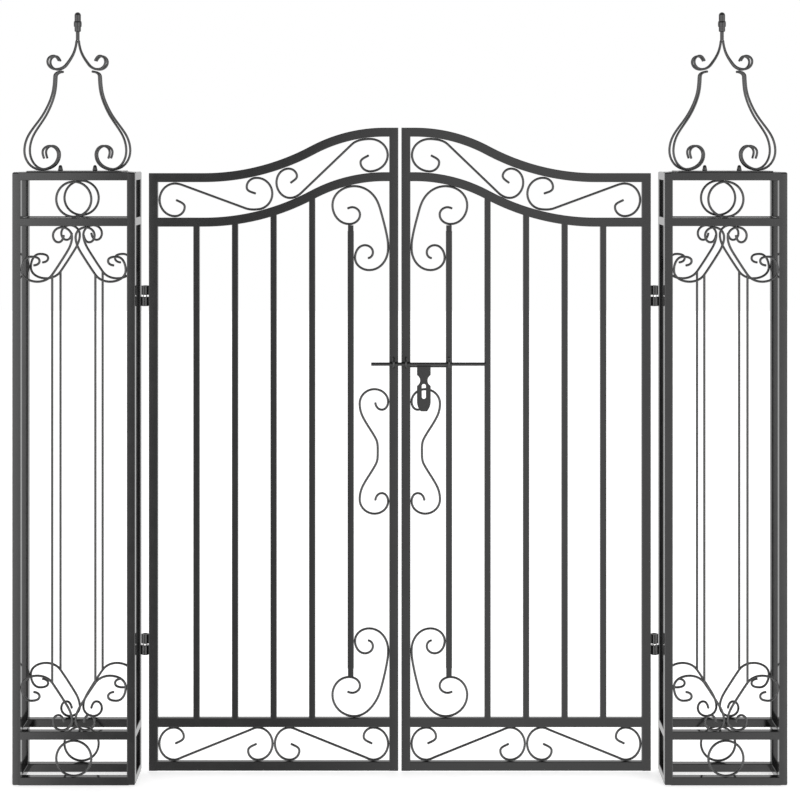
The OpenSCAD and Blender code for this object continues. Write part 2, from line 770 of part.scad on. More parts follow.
module left_leaf_frieze_scrolls() { color(iron) frieze_scrolls(); }
module left_leaf_corner_scrolls() { color(iron) corner_scrolls(); }
module left_leaf_middle_scroll() { color(iron) middle_scroll(); }
module left_leaf_hinge_sleeves() { color(iron) hinge_sleeves(); }
module left_leaf_staple() { color(bright) catch_staple(); }
module right_leaf_hinge_stile() { color(iron) on_right() hinge_stile(); }
module right_leaf_meeting_stile() { color(iron) on_right() meeting_stile(); }
module right_leaf_top_rail() { color(iron) on_right() top_rail(); }
module right_leaf_neck_rail() { color(iron) on_right() neck_rail(); }
module right_leaf_kick_rails() { color(iron) on_right() kick_rails(); }
module right_leaf_bars() { color(iron) on_right() bars(); }
module right_leaf_frieze_scrolls() { color(iron) on_right() frieze_scrolls(); }
module right_leaf_corner_scrolls() { color(iron) on_right() corner_scrolls(); }
module right_leaf_middle_scroll() { color(iron) on_right() middle_scroll(); }
module right_leaf_hinge_sleeves() { color(iron) on_right() hinge_sleeves(); }
module right_leaf_staples() { color(bright) carrier_staples(); }
module right_leaf_hasp_wire() { color(bright) hasp_wire(); }

left_pillar_posts();
left_pillar_rails();
left_pillar_rods();
left_pillar_rings();
left_pillar_scrolls();
left_finial_base();
left_finial_scrolls();
left_finial_crown();
left_finial_tip();
left_hinge_pins();
right_pillar_posts();
right_pillar_rails();
right_pillar_rods();
right_pillar_rings();
right_pillar_scrolls();
right_finial_base();
right_finial_scrolls();
right_finial_crown();
right_finial_tip();
right_hinge_pins();
left_leaf_hinge_stile();
left_leaf_meeting_stile();
left_leaf_top_rail();
left_leaf_neck_rail();
left_leaf_kick_rails();
left_leaf_bars();
left_leaf_frieze_scrolls();
left_leaf_corner_scrolls();
left_leaf_middle_scroll();
left_leaf_hinge_sleeves();
left_leaf_staple();
right_leaf_hinge_stile();
right_leaf_meeting_stile();
right_leaf_top_rail();
right_leaf_neck_rail();
right_leaf_kick_rails();
right_leaf_bars();
right_leaf_frieze_scrolls();
right_leaf_corner_scrolls();
right_leaf_middle_scroll();
right_leaf_hinge_sleeves();
right_leaf_staples();
right_leaf_hasp_wire();
bolt_rod();
hasp();
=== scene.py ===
import bmesh
import bpy
import numpy as np
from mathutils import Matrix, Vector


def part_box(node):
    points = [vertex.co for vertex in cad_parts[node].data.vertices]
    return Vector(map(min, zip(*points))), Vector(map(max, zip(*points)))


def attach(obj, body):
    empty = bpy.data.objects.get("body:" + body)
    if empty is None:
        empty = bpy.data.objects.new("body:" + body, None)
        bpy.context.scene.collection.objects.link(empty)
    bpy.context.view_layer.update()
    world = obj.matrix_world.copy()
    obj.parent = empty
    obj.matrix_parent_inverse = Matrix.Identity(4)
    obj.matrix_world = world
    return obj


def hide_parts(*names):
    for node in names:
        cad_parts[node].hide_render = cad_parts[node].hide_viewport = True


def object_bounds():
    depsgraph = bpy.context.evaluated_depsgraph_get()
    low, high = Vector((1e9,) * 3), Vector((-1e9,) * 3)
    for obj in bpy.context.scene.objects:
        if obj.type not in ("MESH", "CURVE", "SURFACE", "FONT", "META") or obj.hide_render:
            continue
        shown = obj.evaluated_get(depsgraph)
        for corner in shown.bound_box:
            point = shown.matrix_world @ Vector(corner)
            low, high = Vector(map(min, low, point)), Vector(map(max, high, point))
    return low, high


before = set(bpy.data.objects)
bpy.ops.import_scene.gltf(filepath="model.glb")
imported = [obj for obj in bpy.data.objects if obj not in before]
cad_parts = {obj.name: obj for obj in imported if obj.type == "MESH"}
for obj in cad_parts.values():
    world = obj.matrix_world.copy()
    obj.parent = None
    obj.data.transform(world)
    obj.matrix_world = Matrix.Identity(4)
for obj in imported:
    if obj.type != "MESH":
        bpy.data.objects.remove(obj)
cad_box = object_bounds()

# ---- Pillar posts -----------------------------------------------------------
# Each pillar has four uprights of 13 mm square steel tube, one at each corner.
# The tube is rolled with small round corners, cut square, capped and painted black.

post_corner = 0.0011
post_cap = 0.0026
tube_easing = 0.0004


def rounded_rectangle(width, depth, corner, steps=4):
    """Closed outline, anticlockwise: four quarter circles, each its corner's centre
    plus the corner radius times (cos a, sin a), joined by straight sides."""
    quarter = np.radians(np.linspace(0, 90, steps + 1))
    angles = quarter + np.radians([[0], [90], [180], [270]])
    signs = np.array([[1, 1], [-1, 1], [-1, -1], [1, -1]])
    centres = signs * [width / 2 - corner, depth / 2 - corner]
    rim = corner * np.stack([np.cos(angles), np.sin(angles)], axis=-1)
    return (centres[:, None] + rim).reshape(-1, 2)


def tube_faces(grid):
    """Quads between the rows of a grid of point numbers, each row closed on itself, and
    one face over either end."""
    beside = np.roll(grid, -1, axis=1)
    quads = np.stack([grid[:-1], beside[:-1], beside[1:], grid[1:]], axis=-1).reshape(-1, 4)
    return quads.tolist() + [grid[0, ::-1].tolist(), grid[-1].tolist()]


def carried(outline, path, across, easing=tube_easing):
    """An outline carried along a path that lies in the plane square to across:
    point(i, j) = path(i) + x(j) * normal(i) + y(j) * across, where the normal is
    across x tangent. Both ends shrink along a quarter circle and are closed."""
    path, across = np.asarray(path, float), np.asarray(across, float)
    lean = np.radians([0, 30, 60, 90])
    back, inset = easing * (1 - np.cos(lean)), easing * (1 - np.sin(lean))
    first, last = path[1] - path[0], path[-1] - path[-2]
    first, last = first / np.linalg.norm(first), last / np.linalg.norm(last)
    line = np.concatenate([
        path[0] + back[:, None] * first, path[1:-1], path[-1] - back[::-1, None] * last])
    scale = np.ones(len(line))
    scale[:4] = 1 - inset / np.abs(outline).max()
    scale[-4:] = scale[3::-1]
    tangent = np.gradient(line, axis=0)
    tangent[:4], tangent[-4:] = first, last
    tangent /= np.linalg.norm(tangent, axis=1)[:, None]
    normal = np.cross(across, tangent)
    points = (line[:, None] + scale[:, None, None] * (
        outline[None, :, :1] * normal[:, None] + outline[None, :, 1:] * across))
    rows, columns = points.shape[:2]
    return points.reshape(-1, 3), tube_faces(np.arange(rows * columns).reshape(rows, columns))


def joined(shells):
    """Several closed shells as one list of points and one of faces."""
    starts = np.cumsum([0] + [len(points) for points, _ in shells])
    faces = [[start + n for n in face]
             for start, (_, shell_faces) in zip(starts, shells) for face in shell_faces]
    return np.concatenate([points for points, _ in shells]), faces


def mirrored(shell):
    """The shell's mirror image on the other side of the gate's middle, x = gate_mid_x."""
    points, faces = shell
    return points * [-1, 1, 1] + [2 * gate_mid_x, 0, 0], [face[::-1] for face in faces]


def painted(name, shell, paint):
    """Mesh object of the shell, smooth over its round corners and flat on its flat sides."""
    points, faces = shell
    mesh = bpy.data.meshes.new(name)
    mesh.from_pydata(points.tolist(), [], faces)
    mesh.shade_smooth()
    mesh.set_sharp_from_angle(angle=np.radians(50))
    mesh.materials.append(paint)
    piece = bpy.data.objects.new(name, mesh)
    bpy.context.scene.collection.objects.link(piece)
    smoothing = piece.modifiers.new("even_shading", "WEIGHTED_NORMAL")
    smoothing.keep_sharp = True
    return piece


def black_paint(name, tone, gloss, peel, scuff):
    """Black enamel on steel: a faint orange-peel bump, roughness that drifts with the
    brush or spray, and a thin grey bloom where dust settles in the paint."""
    paint = bpy.data.materials.new(name)
    paint.use_nodes = True
    nodes, links = paint.node_tree.nodes, paint.node_tree.links
    shader = nodes["Principled BSDF"]
    shader.inputs["IOR"].default_value = 1.5
    place = nodes.new("ShaderNodeTexCoord")

    def noise(scale, detail):
        texture = nodes.new("ShaderNodeTexNoise")
        texture.inputs["Scale"].default_value = scale
        texture.inputs["Detail"].default_value = detail
        links.new(place.outputs["Object"], texture.inputs["Vector"])
        return texture.outputs["Fac"]

    colour = nodes.new("ShaderNodeValToRGB")
    colour.color_ramp.elements[0].position = 0.35
    colour.color_ramp.elements[0].color = (tone, tone, tone * 1.04, 1)
    colour.color_ramp.elements[1].position = 0.75
    colour.color_ramp.elements[1].color = (tone * scuff, tone * scuff, tone * scuff, 1)
    links.new(noise(scale=14, detail=5), colour.inputs["Fac"])
    links.new(colour.outputs["Color"], shader.inputs["Base Color"])
    rough = nodes.new("ShaderNodeMapRange")
    rough.inputs["To Min"].default_value = gloss - 0.04
    rough.inputs["To Max"].default_value = gloss + 0.06
    links.new(noise(scale=55, detail=3), rough.inputs["Value"])
    links.new(rough.outputs["Result"], shader.inputs["Roughness"])
    bump = nodes.new("ShaderNodeBump")
    bump.inputs["Strength"].default_value = peel
    bump.inputs["Distance"].default_value = 0.0002
    links.new(noise(scale=420, detail=2), bump.inputs["Height"])
    links.new(bump.outputs["Normal"], shader.inputs["Normal"])
    return paint


gate_lo, gate_hi = (np.array(corner) for corner in cad_box)
gate_mid_x = (gate_lo[0] + gate_hi[0]) / 2
post_lo, post_hi = (np.array(corner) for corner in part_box("left_pillar_posts"))
post_side = 2 * post_hi[0]
pillar_mid = (post_lo + post_hi) / 2
post_off = (post_hi - post_lo)[:2] / 2 - post_side / 2
pillar_paint = black_paint("pillar_black", 0.008, 0.10, 0.05, 1.5)
post_outline = rounded_rectangle(post_side, post_side, post_corner)
posts = joined([
    carried(post_outline,
            [[pillar_mid[0] + sx * post_off[0], pillar_mid[1] + sy * post_off[1], z]
             for z in (post_lo[2], pillar_mid[2], post_hi[2])], [0, 1, 0], post_cap)
    for sx in (-1, 1) for sy in (-1, 1)])
for side, shell in (("left", posts), ("right", mirrored(posts))):
    piece = painted(side + "_post_tubes", shell, pillar_paint)
    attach(piece, "pillars")
    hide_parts(side + "_pillar_posts")

# ---- Pillar rails -----------------------------------------------------------
# Two rails round the foot and two round the head of a pillar, of the same tube as the
# posts. They are cut between the posts, and the butt joints are welded and filed flush.

ring_lo, ring_hi = (np.array(corner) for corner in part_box("left_pillar_rings"))
frieze_high = ring_hi[0] - ring_lo[0]
rail_levels = np.array([
    post_side / 2, 1.5 * post_side + frieze_high,
    post_hi[2] - 1.5 * post_side - frieze_high, post_hi[2] - post_side / 2])
# The weld, a hair below the rail's faces, fills the round end and corner of the post
weld_sunk = 0.0001
weld_hold = 0.0004
weld_side = post_side - weld_sunk
weld_outline = rounded_rectangle(weld_side, weld_side, post_corner)


def rail_shells(z, outline, weld_in):
    """Front, rear and two side rails at one height, each running weld_in into its posts."""
    half_x, half_y = post_off - post_side / 2 + weld_in
    x, y = pillar_mid[:2]
    lengthways = [
        carried(outline, [[x - half_x, y + s * post_off[1], z], [x, y + s * post_off[1], z],
                          [x + half_x, y + s * post_off[1], z]], [0, 1, 0], 0)
        for s in (-1, 1)]
    crossways = [
        carried(outline, [[x + s * post_off[0], y - half_y, z], [x + s * post_off[0], y, z],
                          [x + s * post_off[0], y + half_y, z]], [1, 0, 0], 0)
        for s in (-1, 1)]
    return lengthways + crossways


rails = joined([
    shell for z in rail_levels
    for outline, weld_in in ((post_outline, post_corner), (weld_outline, post_cap + weld_hold))
    for shell in rail_shells(z, outline, weld_in)])
for side, shell in (("left", rails), ("right", mirrored(rails))):
    piece = painted(side + "_rail_tubes", shell, pillar_paint)
    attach(piece, "pillars")
    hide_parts(side + "_pillar_rails")

# ---- Pillar rings and rods --------------------------------------------------
# A ring of round wire, bent and welded shut, fills each frieze of a pillar's front and
# back. Two straight rods of the same wire stand between the lower and upper scrolls.

wire_radius = 0.0019
rod_off = 0.034
rod_share = 0.87
pillar_scroll_rise = 0.0895
wire_angles = np.radians(np.arange(0, 360, 30))
wire_outline = wire_radius * np.stack([np.cos(wire_angles), np.sin(wire_angles)], axis=-1)
# The wires carry the frame's black enamel at about twice its tone: painted sheen, lighter paint
# standing in for the highlights that the round wires catch.
wire_paint_painted_sheen = black_paint("wire_black_painted_sheen", 0.017, 0.13, 0.05, 1.5)
scroll_lo, scroll_hi = (np.array(corner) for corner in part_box("left_pillar_scrolls"))
wire_planes = (scroll_lo[1] + wire_radius, scroll_hi[1] - wire_radius)


def hoop(centre, radius, thick):
    """Torus: radius + thick * cos b out from the centre in the XZ plane and
    thick * sin b across it, for angles a round the hoop and b round the wire."""
    a = np.linspace(0, 2 * np.pi, 96, endpoint=False)[:, None]
    b = np.linspace(0, 2 * np.pi, 12, endpoint=False)[None]
    out = radius + thick * np.cos(b)
    points = np.stack([out * np.cos(a), thick * np.sin(b) + 0 * a, out * np.sin(a)], axis=-1)
    grid = np.arange(points.shape[0] * points.shape[1]).reshape(points.shape[:2])
    beside, above = np.roll(grid, -1, axis=1), np.roll(grid, -1, axis=0)
    quads = np.stack([grid, above, np.roll(above, -1, axis=1), beside], axis=-1)
    return points.reshape(-1, 3) + centre, quads.reshape(-1, 4).tolist()


rings = joined([
    hoop([pillar_mid[0], y, z], frieze_high / 2 - wire_radius, wire_radius)
    for y in wire_planes
    for z in (ring_lo[2] + frieze_high / 2, ring_hi[2] - frieze_high / 2)])
rod_foot = wire_radius + rod_share * (pillar_scroll_rise - 2 * wire_radius)
rods = joined([
    carried(wire_outline, [[pillar_mid[0] + s * rod_off, y, z] for z in (
        scroll_lo[2] + rod_foot, pillar_mid[2], scroll_hi[2] - rod_foot)], [0, 1, 0])
    for s in (-1, 1) for y in wire_planes])
for side, ring_shell, rod_shell in (
        ("left", rings, rods), ("right", mirrored(rings), mirrored(rods))):
    for part, shell in (("rings", ring_shell), ("rods", rod_shell)):
        piece = painted(side + "_wire_" + part, shell, wire_paint_painted_sheen)
        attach(piece, "pillars")
        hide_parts(side + "_pillar_" + part)

# ---- Pillar scrolls ---------------------------------------------------------
# Two scrolls of 3.8 mm wire stand back to back on a pillar's lower rails and two hang
# from the upper ones, front and back. Each ends in a small curl and a large one.

pillar_scroll_reach = post_off[0] - post_side / 2 - wire_radius
wire_end_share = 0.6


def bent(knots):
    """Path through knots (x, z, heading): between two knots runs the cubic curve whose
    handles lie along the headings and measure chord / (3 cos^2(turn / 4)), the one
    that comes closest to a single circular arc."""
    knots = np.asarray(knots, float)
    start, end = knots[:-1], knots[1:]
    turn = (end[:, 2] - start[:, 2] + 180) % 360 - 180
    chord = np.linalg.norm(end[:, :2] - start[:, :2], axis=1)
    handle = (chord / (3 * np.cos(np.radians(turn / 4)) ** 2))[:, None]

    def heading(k):
        return np.stack([np.cos(np.radians(k[:, 2])), np.sin(np.radians(k[:, 2]))], axis=-1)

    p, s = start[:, None, :2], end[:, None, :2]
    q = (start[:, :2] + handle * heading(start))[:, None]
    r = (end[:, :2] - handle * heading(end))[:, None]
    t = np.linspace(0, 1, 11)[1:][None, :, None]
    arcs = (1 - t) ** 3 * p + 3 * t * (1 - t) ** 2 * q + 3 * t * t * (1 - t) * r + t ** 3 * s
    return np.concatenate([knots[:1, :2], arcs.reshape(-1, 2)])


def wire_shell(path, origin, along=(1, 0, 0)):
    """Round wire along a flat path (x, z), stood upright at origin with x along."""
    along, up = np.asarray(along, float), np.array([0, 0, 1.0])
    line = np.asarray(origin) + path[:, :1] * along + path[:, 1:] * up
    return carried(wire_outline, line, np.cross(up, along), wire_radius * wire_end_share)


def upside_down(path):
    """The path mirrored in the level line z = 0."""
    return path * [1, -1]


w, h = pillar_scroll_reach, pillar_scroll_rise - 2 * wire_radius
pillar_scroll = bent([
    [0.19 * w, 0.14 * h, 80], [0.295 * w, 0.275 * h, 0], [0.4 * w, 0.15 * h, 270],
    [0.23 * w, 0, 180], [0.035 * w, 0.18 * h, 90], [0.145 * w, 0.475 * h, 58],
    [rod_off, rod_share * h, 55], [0.7 * w, h, 0], [w, 0.79 * h, 270],
    [0.82 * w, 0.54 * h, 180], [0.66 * w, 0.62 * h, 90], [0.78 * w, 0.7 * h, 0]])
pillar_scrolls = joined([
    wire_shell(path, [pillar_mid[0], y, z], [s, 0, 0])
    for y in wire_planes for s in (-1, 1)
    for path, z in ((pillar_scroll, scroll_lo[2] + wire_radius),
                    (upside_down(pillar_scroll), scroll_hi[2] - wire_radius))])
for side, shell in (("left", pillar_scrolls), ("right", mirrored(pillar_scrolls))):
    piece = painted(side + "_pillar_wires", shell, wire_paint_painted_sheen)
    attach(piece, "pillars")
    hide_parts(side + "_pillar_scrolls")

# ---- Finial base ------------------------------------------------------------
# A thin steel plate closes the pillar's top under the finial. Two cap nuts hold it
# down, and the finial's scrolls are welded to it.

plate_thick = 0.002
plate_corner = 0.0015
plate_edge = 0.0003
nut_off = 0.0275
nut_across = 0.008
dome_share, dome_foot, dome_rise, dome_flatness = 0.84, 0.7, 1.5, 0.7
plate_lo, plate_hi = (np.array(corner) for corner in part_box("left_finial_base"))
finial_paint = black_paint("finial_black", 0.009, 0.14, 0.05, 1.5)


def revolved(profile, base, sides):
    """Rows of points radius(j) * (cos a, sin a) about the upright through base, at
    height(j), and the grid of their numbers."""
    profile = np.asarray(profile, float)
    a = np.linspace(0, 2 * np.pi, sides, endpoint=False)
    points = np.stack([
        profile[:, :1] * np.cos(a), profile[:, :1] * np.sin(a),
        profile[:, 1:] + 0 * a[None]], axis=-1)
    return points.reshape(-1, 3) + base, np.arange(len(profile) * sides).reshape(-1, sides)


def turned(profile, base, sides=32):
    """Solid of revolution of a profile of radius and height, closed at its two ends."""
    points, grid = revolved(profile, base, sides)
    return points, tube_faces(grid)


plate_width, plate_depth = (plate_hi - plate_lo)[:2]
plate = carried(
    rounded_rectangle(plate_width, plate_depth, plate_corner),
    [[pillar_mid[0], pillar_mid[1], plate_lo[2] + z] for z in (0, plate_thick / 2, plate_thick)],
    [0, 1, 0], plate_edge)
nut_radius = nut_across / 2
# The nut's foot, chamfered below and above, as shares of its radius
hexagon = nut_radius * np.array([[0.94, 0], [1, 0.1], [1, 0.66], [0.88, 0.78]])
dome = np.radians(np.linspace(0, 86, 9))
dome_profile = nut_radius * np.stack([
    dome_share * np.cos(dome) ** dome_flatness,
    dome_foot + dome_rise * np.sin(dome)], axis=-1)
nuts = [turned(profile, [pillar_mid[0] + s * nut_off, pillar_mid[1], plate_lo[2] + plate_thick],
               sides)
        for s in (-1, 1) for profile, sides in ((hexagon, 6), (dome_profile, 32))]
finial_base = joined([plate] + nuts)
for side, shell in (("left", finial_base), ("right", mirrored(finial_base))):
    piece = painted(side + "_plate_and_nuts", shell, finial_paint)
    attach(piece, "pillars")
    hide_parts(side + "_finial_base")

# ---- Finial scrolls and crown -----------------------------------------------
# Four large scrolls of wire stand on the plate, spread in two pairs to either side, and
# four small crown scrolls stand on them and close round the stem of the tip.

finial_reach = 0.0835
crown_reach = 0.0475
finial_splay = np.radians(15)
finial_lo, finial_hi = (np.array(corner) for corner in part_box("left_finial_scrolls"))
tip_lo, tip_hi = (np.array(corner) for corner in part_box("left_finial_tip"))
w, h = finial_reach, finial_hi[2] - finial_lo[2] - 2 * wire_radius
finial_scroll = bent([
    [0.63 * w, 0.11 * h, 70], [0.66 * w, 0.175 * h, 90], [0.525 * w, 0.24 * h, 180],
    [0.37 * w, 0.15 * h, 270], [0.69 * w, 0, 0], [w, 0.19 * h, 90], [0.9 * w, 0.37 * h, 122],
    [0.64 * w, 0.57 * h, 120], [0.48 * w, 0.77 * h, 105], [0.44 * w, 0.95 * h, 93],
    [0.29 * w, h, 180]])
w, h = crown_reach, tip_lo[2] - finial_hi[2] - wire_radius
crown_scroll = bent([
    [0.62 * w, 0.28 * h, 60], [0.8 * w, 0.46 * h, 0], [w, 0.26 * h, 270],
    [0.73 * w, 0, 180], [0.39 * w, 0.16 * h, 128], [0.1 * w, 0.67 * h, 107],
    [wire_radius, h, 93]])
finial_ways = [[np.cos(a), np.sin(a), 0] for a in (
    finial_splay, np.pi - finial_splay, np.pi + finial_splay, -finial_splay)]
finial_scrolls = joined([
    wire_shell(finial_scroll, [pillar_mid[0], pillar_mid[1], finial_lo[2] + wire_radius], along)
    for along in finial_ways])
crown_scrolls = joined([
    wire_shell(crown_scroll, [pillar_mid[0], pillar_mid[1], finial_hi[2] + wire_radius], along)
    for along in finial_ways])
for side, shells in (("left", (finial_scrolls, crown_scrolls)),
                     ("right", (mirrored(finial_scrolls), mirrored(crown_scrolls)))):
    for part, shell in zip(("scrolls", "crown"), shells):
        piece = painted(side + "_finial_wire_" + part, shell, wire_paint_painted_sheen)
        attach(piece, "pillars")
        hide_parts(side + "_finial_" + part)

# ---- Finial tip -------------------------------------------------------------
# A turned steel tip: a stem between the crown scrolls, a collar, and a rounded point.

stem_radius = 0.003
tip_radius = 0.0051
collar_radius = (tip_hi[0] - tip_lo[0]) / 2
tip_foot, collar_foot, collar_top = 0.014, 0.0215, 0.0305
tip_ease, tip_chamfer, collar_seam = 0.0008, 0.0006, 0.0001
tip_high = tip_hi[2] - tip_lo[2]
nose = np.radians(np.linspace(0, 86, 10))
belly = np.radians(np.linspace(-70, 70, 9))
collar_mid, collar_half = (collar_foot + collar_top) / 2, (collar_top - collar_foot) / 2
tip_profile = np.concatenate([
    [[stem_radius, 0], [stem_radius, tip_foot - tip_ease], [tip_radius - tip_chamfer, tip_foot],
     [tip_radius, tip_foot + tip_ease], [tip_radius, collar_foot - collar_seam]],
    np.stack([tip_radius + (collar_radius - tip_radius) * np.cos(belly) ** 0.5,
              collar_mid + collar_half * np.sin(belly) / np.sin(belly[-1])], axis=-1),
    [[tip_radius, collar_top + collar_seam]],
    np.stack([tip_radius * np.cos(nose),
              tip_high - tip_radius + tip_radius * np.sin(nose)], axis=-1)])
tip = turned(tip_profile, [pillar_mid[0], pillar_mid[1], tip_lo[2]])
for side, shell in (("left", tip), ("right", mirrored(tip))):
    piece = painted(side + "_turned_tip", shell, finial_paint)
    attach(piece, "pillars")
    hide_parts(side + "_finial_tip")

# ---- Hinges -----------------------------------------------------------------
# Each leaf hangs on two pin hinges. The lower knuckle and its pin are welded to the
# pillar by a strap, and the upper knuckle, bored through, is welded to the leaf.

pin_radius = 0.003
bore_radius = 0.00305
knuckle_high = 0.015
knuckle_gap = 0.003
strap_thick = 0.003
strap_corner = 0.0004
strap_clear = 0.0006
knuckle_chamfer, bore_chamfer, pin_chamfer = 0.0005, 0.0004, 0.0006
hinge_lo, hinge_hi = (np.array(corner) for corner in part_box("left_leaf_hinge_sleeves"))
stile_lo, stile_hi = (np.array(corner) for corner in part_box("left_leaf_hinge_stile"))
knuckle_radius = (hinge_hi[1] - hinge_lo[1]) / 2
pin_x, pin_y = hinge_lo[0] + knuckle_radius, hinge_lo[1] + knuckle_radius
sleeve_feet = (hinge_lo[2], hinge_hi[2] - knuckle_high)
knuckle_profile = [[knuckle_radius - knuckle_chamfer, 0], [knuckle_radius, knuckle_chamfer],
                   [knuckle_radius, knuckle_high - knuckle_chamfer],
                   [knuckle_radius - knuckle_chamfer, knuckle_high]]


def bored(profile, base, sides=32):
    """Solid of revolution of a closed profile, so that the piece is open through."""
    points, grid = revolved(profile, base, sides)
    beside, above = np.roll(grid, -1, axis=1), np.roll(grid, -1, axis=0)
    quads = np.stack([grid, beside, np.roll(above, -1, axis=1), above], axis=-1)
    return points, quads.reshape(-1, 4).tolist()


sleeve_profile = knuckle_profile + [
    [bore_radius + bore_chamfer, knuckle_high], [bore_radius, knuckle_high - bore_chamfer],
    [bore_radius, bore_chamfer], [bore_radius + bore_chamfer, 0]]
strap_outline = rounded_rectangle(knuckle_high, strap_thick, strap_corner)
pin_rise = 1.5 * knuckle_gap + knuckle_high - strap_thick
pin_profile = [[pin_radius, 0], [pin_radius, pin_rise - pin_chamfer],
               [pin_radius - pin_chamfer, pin_rise]]
lower_shells, pin_shells, sleeve_shells = [], [], []
for foot in sleeve_feet:
    low = foot - knuckle_gap - knuckle_high
    level = low + knuckle_high / 2
    pin_shells.append(turned(pin_profile, [pin_x, pin_y, foot - 1.5 * knuckle_gap]))
    lower_shells += [
        turned(knuckle_profile, [pin_x, pin_y, low]),
        carried(strap_outline, [[x, pin_y, level] for x in (
            post_hi[0], (post_hi[0] + pin_x) / 2, pin_x)], [0, 1, 0], 0)]
    level = foot + knuckle_high / 2
    strap_y = stile_hi[1] - strap_thick / 2
    sleeve_shells += [
        bored(sleeve_profile, [pin_x, pin_y, foot]),
        carried(strap_outline, [[x, strap_y, level] for x in (
            pin_x + bore_radius + strap_clear, pin_x + knuckle_radius, stile_lo[0])],
            [0, 1, 0], 0)]
lowers, pins, sleeves = joined(lower_shells), joined(pin_shells), joined(sleeve_shells)

# Bare bright steel, turned, with a faint ring of tool marks
pin_steel = bpy.data.materials.new("bright_pin_steel")
pin_steel.use_nodes = True
nodes, links = pin_steel.node_tree.nodes, pin_steel.node_tree.links
shader = nodes["Principled BSDF"]
shader.inputs["Base Color"].default_value = (0.86, 0.86, 0.85, 1)
shader.inputs["Metallic"].default_value = 1
shader.inputs["Roughness"].default_value = 0.32
place = nodes.new("ShaderNodeTexCoord")
turning = nodes.new("ShaderNodeTexWave")
turning.bands_direction = "Z"
turning.inputs["Scale"].default_value = 900
turning.inputs["Distortion"].default_value = 1
links.new(place.outputs["Object"], turning.inputs["Vector"])
marks = nodes.new("ShaderNodeBump")
marks.inputs["Strength"].default_value = 0.05
marks.inputs["Distance"].default_value = 0.0001
links.new(turning.outputs["Fac"], marks.inputs["Height"])
links.new(marks.outputs["Normal"], shader.inputs["Normal"])

for side, lower_shell, pin_shell, sleeve_shell in (
        ("left", lowers, pins, sleeves),
        ("right", mirrored(lowers), mirrored(pins), mirrored(sleeves))):
    for part, shell, paint in (
            ("_pillar_knuckles", lower_shell, pillar_paint),
            ("_bright_pins", pin_shell, pin_steel)):
        piece = painted(side + part, shell, paint)
        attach(piece, "pillars")
        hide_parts(side + "_hinge_pins")
    piece = painted(side + "_leaf_knuckles", sleeve_shell, pillar_paint)
    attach(piece, side + "_leaf")
    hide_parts(side + "_leaf_hinge_sleeves")

# ---- Leaf frames ------------------------------------------------------------
# A leaf's frame is flat tube, 14.5 by 10 mm: two stiles, two level rails at the foot and
# two swan-necked rails at the head, bent cold and welded flush between the stiles.

frame_corner = 0.0011
swan_start = 0.073
swan_level = 0.007
swan_share = 0.6
meet_lo, meet_hi = (np.array(corner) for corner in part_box("left_leaf_meeting_stile"))
kick_lo, kick_hi = (np.array(corner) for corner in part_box("left_leaf_kick_rails"))
top_lo, top_hi = (np.array(corner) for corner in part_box("left_leaf_top_rail"))
neck_lo, neck_hi = (np.array(corner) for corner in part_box("left_leaf_neck_rail"))
frame_face, frame_deep = stile_hi[0] - stile_lo[0], stile_hi[1] - stile_lo[1]
leaf_mid_y = (stile_lo[1] + stile_hi[1]) / 2
leaf_paint = black_paint("leaf_black", 0.008, 0.10, 0.05, 1.5)
frame_outline = rounded_rectangle(frame_face, frame_deep, frame_corner)
run_lo, run_hi = stile_hi[0], meet_lo[0]
swan_x0, swan_x1 = run_lo + swan_start, run_hi - swan_level
swan_rise = meet_hi[2] - stile_hi[2]
swan_turn = 2 * np.arctan(swan_rise / (swan_x1 - swan_x0))
hollow_radius = swan_share * (swan_x1 - swan_x0) / np.sin(swan_turn)
round_radius = (1 - swan_share) * (swan_x1 - swan_x0) / np.sin(swan_turn)


def swan_line(z):
    """Centre line of a swan-necked rail whose level start lies at z: an arc of the
    hollow radius turns up, and one of the round radius turns back to level."""
    a = np.linspace(0, swan_turn, 25)
    hollow = np.stack([swan_x0 + hollow_radius * np.sin(a),
                       z + hollow_radius * (1 - np.cos(a))], axis=-1)
    crown = np.stack([swan_x1 - round_radius * np.sin(a),
                      z + swan_rise - round_radius * (1 - np.cos(a))], axis=-1)[::-1]
    flat = np.concatenate([
        [[run_lo - frame_corner, z], [run_lo + swan_start / 2, z]], hollow, crown[1:],
        [[run_hi + frame_corner, z + swan_rise]]])
    return np.stack([flat[:, 0], np.full(len(flat), leaf_mid_y), flat[:, 1]], axis=-1)


def upright_tube(outline, x, z0, z1, easing=tube_easing):
    """A tube that stands at x in the leaf's middle plane, from z0 to z1."""
    path = [[x, leaf_mid_y, z] for z in (z0, (z0 + z1) / 2, z1)]
    return carried(outline, path, [0, 1, 0], easing)


def level_tube(outline, z):
    """A tube that lies at height z between the leaf's two stiles."""
    ends = (run_lo - frame_corner, (run_lo + run_hi) / 2, run_hi + frame_corner)
    return carried(outline, [[x, leaf_mid_y, z] for x in ends], [0, 1, 0], 0)


frame_shells = {
    "hinge_stile": upright_tube(
        frame_outline, (stile_lo[0] + stile_hi[0]) / 2, stile_lo[2], stile_hi[2]),
    "meeting_stile": upright_tube(
        frame_outline, (meet_lo[0] + meet_hi[0]) / 2, meet_lo[2], meet_hi[2]),
    "top_rail": carried(frame_outline, swan_line(top_lo[2] + frame_face / 2), [0, 1, 0], 0),
    "neck_rail": carried(frame_outline, swan_line(neck_lo[2] + frame_face / 2), [0, 1, 0], 0),
    "kick_rails": joined([level_tube(frame_outline, kick_lo[2] + frame_face / 2),
                          level_tube(frame_outline, kick_hi[2] - frame_face / 2)])}
for part, shell in frame_shells.items():
    for side, sided in (("left", shell), ("right", mirrored(shell))):
        piece = painted(side + "_frame_" + part, sided, leaf_paint)
        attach(piece, side + "_leaf")
        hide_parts(side + "_leaf_" + part)

